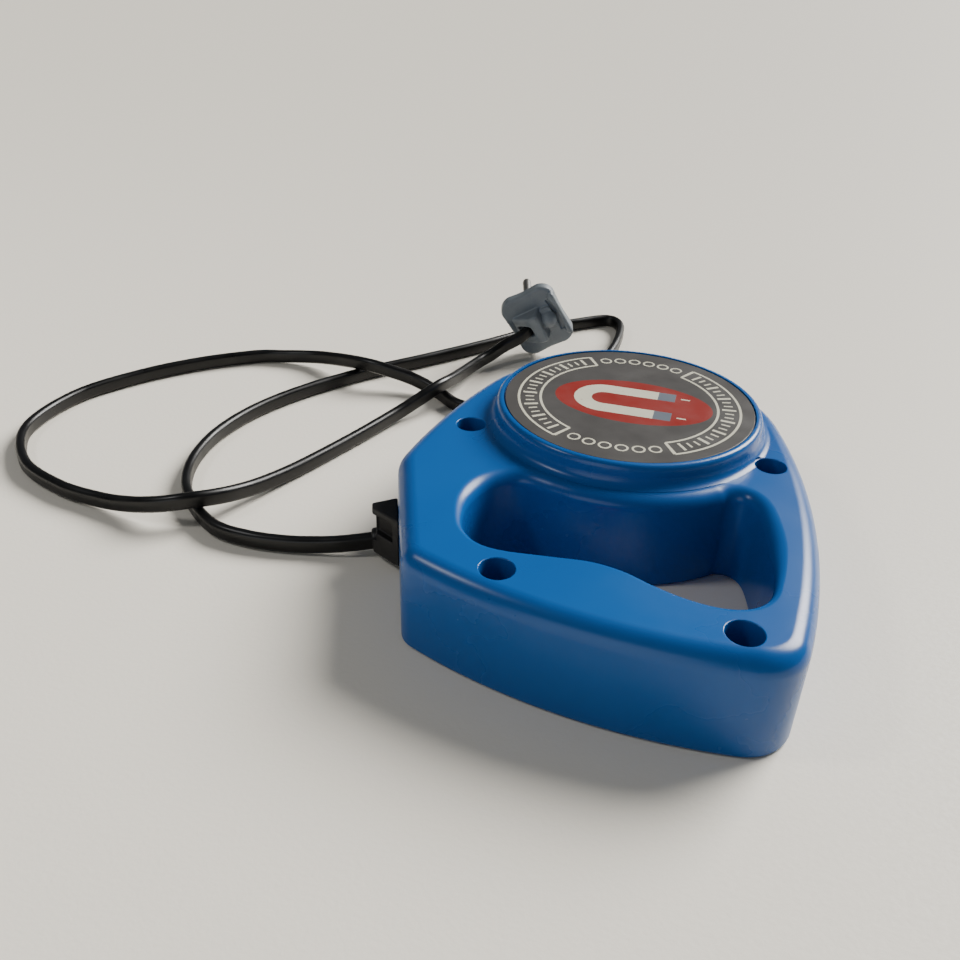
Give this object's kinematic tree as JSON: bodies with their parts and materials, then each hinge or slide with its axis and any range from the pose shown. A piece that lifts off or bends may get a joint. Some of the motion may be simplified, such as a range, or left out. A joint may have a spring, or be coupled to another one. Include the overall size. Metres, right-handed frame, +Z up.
{
  "type": "hand-held demagnetizer",
  "caption": "Hand-held AC demagnetizer: blue plastic body with a round coil head, a hand opening with a trigger, a black flat cord and a grey right-angled plug.",
  "frame": {"origin": "centre of the round head, on the flat underside that is the working face", "axes": "+Z up from the underside to the label, +Y from the handle to the head, +X to the right when the handle is nearest"},
  "size_m": [0.3028, 0.288, 0.0405],
  "materials": {
    "blue_shell": "glossy moulded ABS",
    "blue_plate": "fine-textured moulded ABS",
    "label_print": "laminated printed disc",
    "boot_rubber": "moulded black PVC",
    "cord_sheath": "smooth black PVC",
    "core_iron": "stacked silicon steel sheet",
    "white_nylon": "moulded nylon",
    "enamelled_wire": "enamelled copper wire",
    "coil_tape": "polyester tape",
    "zinc_strap": "zinc-plated sheet steel",
    "zinc_screws": "zinc-plated steel",
    "cutout_case": "white moulded case",
    "trigger_red": "moulded red plastic",
    "switch_case": "black phenolic",
    "plunger_nylon": "moulded nylon",
    "clamp_nylon": "moulded nylon",
    "brown_lead": "PVC insulation",
    "blue_lead": "PVC insulation",
    "crimp_nylon": "closed-end nylon crimps",
    "plug_grey": "moulded grey PVC",
    "plug_metal": "nickel-plated brass"
  },
  "bodies": {
    "housing": {"upper_shell": "blue_shell", "base_plate": "blue_plate", "round_label": "label_print", "case_screw_1": "zinc_screws", "case_screw_2": "zinc_screws", "case_screw_3": "zinc_screws", "case_screw_4": "zinc_screws", "cord_boot": "boot_rubber", "core_laminations": "core_iron", "coil_bobbin": "white_nylon", "coil_winding": "enamelled_wire", "coil_tape": "coil_tape", "core_strap": "zinc_strap", "strap_screw_1": "zinc_screws", "strap_screw_2": "zinc_screws", "thermal_cutout": "cutout_case", "switch_body": "switch_case", "switch_screw_1": "zinc_screws", "switch_screw_2": "zinc_screws", "cord_tail": "cord_sheath", "cord_clamp": "clamp_nylon", "clamp_screw_1": "zinc_screws", "clamp_screw_2": "zinc_screws", "lead_live": "brown_lead", "lead_neutral": "blue_lead", "lead_switched": "brown_lead", "lead_cutout": "brown_lead", "crimp_sleeve_1": "crimp_nylon", "crimp_sleeve_2": "crimp_nylon", "power_cord": "cord_sheath", "plug_body": "plug_grey", "plug_pin_1": "plug_metal", "plug_pin_2": "plug_metal"},
    "trigger": {"trigger_button": "trigger_red"},
    "plunger": {"switch_plunger": "plunger_nylon"}
  },
  "joints": [
    {"name": "trigger_slide", "type": "slide", "parent": "housing", "child": "trigger", "axis": [0, -1, 0], "range_m": [0, 0.002], "stiffness_N_per_m": 600, "springref_m": -0.002},
    {"name": "plunger_slide", "type": "slide", "parent": "housing", "child": "plunger", "axis": [0, -1, 0], "range_m": [0, 0.002]}
  ],
  "couplings": [
    {"joint": "plunger_slide", "follows": "trigger_slide", "ratio": 1}
  ]
}
